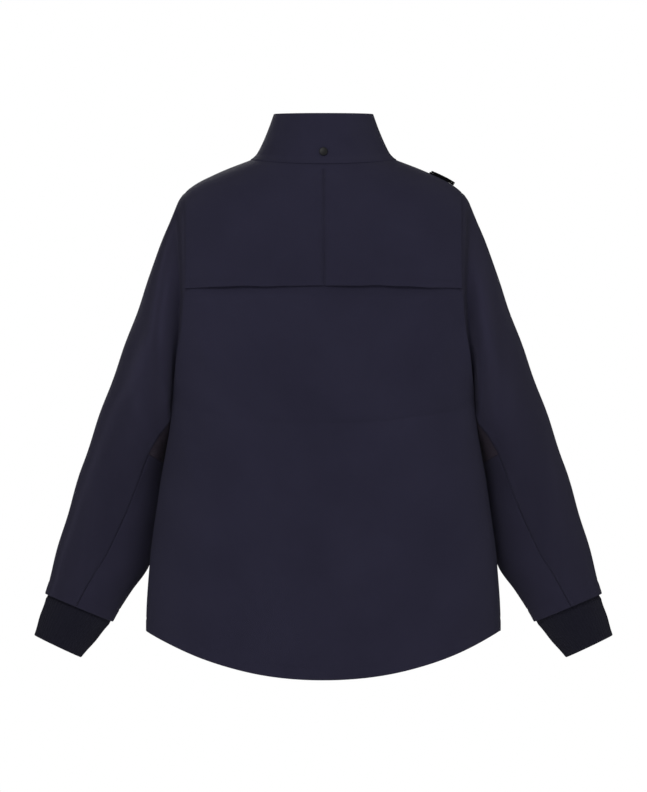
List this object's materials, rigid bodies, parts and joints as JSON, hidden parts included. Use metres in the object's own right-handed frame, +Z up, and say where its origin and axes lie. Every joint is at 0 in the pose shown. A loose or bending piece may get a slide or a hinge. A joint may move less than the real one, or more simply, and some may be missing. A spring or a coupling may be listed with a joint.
{
  "type": "foul weather jacket",
  "caption": "Dark navy foul weather jacket with stand collar, back cape vent, mesh underarm gussets, rib-knit cuffs and a full front zip.",
  "frame": {"origin": "where a hook carries the hanger loop, inside the back of the neck at the collar seam", "axes": "+Z up, +X to the wearer's left, the zip side faces -Y and the back faces +Y"},
  "size_m": [0.8252, 0.2316, 0.8017],
  "materials": {
    "shell_fabric": "smooth matt woven softshell, dark navy",
    "sleeve_fabric": "smooth matt woven stretch softshell, dark navy",
    "rib_knit": "fine rib knit, nearly black navy",
    "mesh_fabric": "open warp-knit mesh, dark",
    "lining_fabric": "thin plain lining, dark navy",
    "zip_tape": "woven zip tape, black navy",
    "zip_plastic": "moulded black plastic, satin",
    "black_metal": "black lacquered metal, semi gloss",
    "black_webbing": "dense black webbing, matt"
  },
  "bodies": {
    "jacket_body": {"back_panel": "shell_fabric", "back_lining": "lining_fabric", "vent_mesh": "mesh_fabric", "yoke_left": "shell_fabric", "yoke_right": "shell_fabric", "side_front_left": "shell_fabric", "side_front_right": "shell_fabric", "side_lining_left": "lining_fabric", "side_lining_right": "lining_fabric", "collar_back": "shell_fabric", "collar_lining": "lining_fabric", "snap_cap": "black_metal", "snap_post": "black_metal", "snap_back": "black_metal", "hanger_loop": "black_webbing", "shoulder_tab_base": "black_webbing", "shoulder_tab_loop": "black_webbing", "pocket_zip_left": "zip_tape", "pocket_zip_right": "zip_tape", "pocket_bag_left": "lining_fabric", "pocket_bag_right": "lining_fabric", "sleeve_upper_left": "sleeve_fabric", "sleeve_upper_right": "sleeve_fabric", "underarm_mesh_left": "mesh_fabric", "underarm_mesh_right": "mesh_fabric", "sleeve_upper_under_left": "sleeve_fabric", "sleeve_upper_under_right": "sleeve_fabric"},
    "vent_cape": {"vent_flap_left": "shell_fabric", "vent_flap_right": "shell_fabric"},
    "front_left": {"centre_front_left": "shell_fabric", "front_facing_left": "lining_fabric", "collar_front_left": "shell_fabric", "zip_tape_left": "zip_tape", "zip_teeth_left": "zip_plastic", "zip_box": "zip_plastic"},
    "forearm_left": {"sleeve_lower_left": "sleeve_fabric", "sleeve_lower_under_left": "sleeve_fabric", "cuff_left": "rib_knit"},
    "pocket_slider_body_left": {"pocket_slider_left": "black_metal"},
    "pocket_pull_body_left": {"pocket_pull_left": "black_webbing"},
    "front_right": {"centre_front_right": "shell_fabric", "front_facing_right": "lining_fabric", "collar_front_right": "shell_fabric", "zip_tape_right": "zip_tape", "zip_teeth_right": "zip_plastic"},
    "forearm_right": {"sleeve_lower_right": "sleeve_fabric", "sleeve_lower_under_right": "sleeve_fabric", "cuff_right": "rib_knit"},
    "pocket_slider_body_right": {"pocket_slider_right": "black_metal"},
    "pocket_pull_body_right": {"pocket_pull_right": "black_webbing"},
    "zip_slider_body": {"zip_slider": "black_metal"},
    "zip_pull_body": {"zip_pull": "black_metal"}
  },
  "joints": [
    {"name": "vent_lift", "type": "hinge", "parent": "jacket_body", "child": "vent_cape", "pos_m": [0, 0.04052, -0.135], "axis": [1, 0, 0], "range_deg": [0, 20]},
    {"name": "front_left_open", "type": "hinge", "parent": "jacket_body", "child": "front_left", "pos_m": [0.09332, -0.19062, -0.705], "axis": [-0.0558, 0.0692, 0.996], "range_deg": [0, 55]},
    {"name": "elbow_left_bend", "type": "hinge", "parent": "jacket_body", "child": "forearm_left", "pos_m": [0.28085, -0.1725, -0.42675], "axis": [-0.9489, 0, -0.3157], "range_deg": [0, 75]},
    {"name": "front_right_open", "type": "hinge", "parent": "jacket_body", "child": "front_right", "pos_m": [-0.09332, -0.19062, -0.705], "axis": [-0.0558, -0.0692, -0.996], "range_deg": [0, 55]},
    {"name": "elbow_right_bend", "type": "hinge", "parent": "jacket_body", "child": "forearm_right", "pos_m": [-0.28085, -0.1725, -0.42675], "axis": [-0.9489, 0, 0.3157], "range_deg": [0, 75]},
    {"name": "zip_slide", "type": "slide", "parent": "front_left", "child": "zip_slider_body", "axis": [0, -0.0746, -0.9972], "range_m": [0, 0.7242]},
    {"name": "zip_pull_swing", "type": "hinge", "parent": "zip_slider_body", "child": "zip_pull_body", "pos_m": [0.0036, -0.13626, 0.03801], "axis": [-1, 0, 0], "range_deg": [0, 120]},
    {"name": "pocket_left_slide", "type": "slide", "parent": "jacket_body", "child": "pocket_slider_body_left", "axis": [0.0963, -0.0678, -0.993], "range_m": [0, 0.14]},
    {"name": "pocket_left_pull_swing", "type": "hinge", "parent": "pocket_slider_body_left", "child": "pocket_pull_body_left", "pos_m": [0.16912, -0.15149, -0.43928], "axis": [-0.9061, -0.4189, -0.0593], "range_deg": [0, 120]},
    {"name": "pocket_right_slide", "type": "slide", "parent": "jacket_body", "child": "pocket_slider_body_right", "axis": [-0.0963, -0.0678, -0.993], "range_m": [0, 0.14]},
    {"name": "pocket_right_pull_swing", "type": "hinge", "parent": "pocket_slider_body_right", "child": "pocket_pull_body_right", "pos_m": [-0.16912, -0.15149, -0.43928], "axis": [-0.9061, 0.4189, 0.0593], "range_deg": [0, 120]}
  ]
}
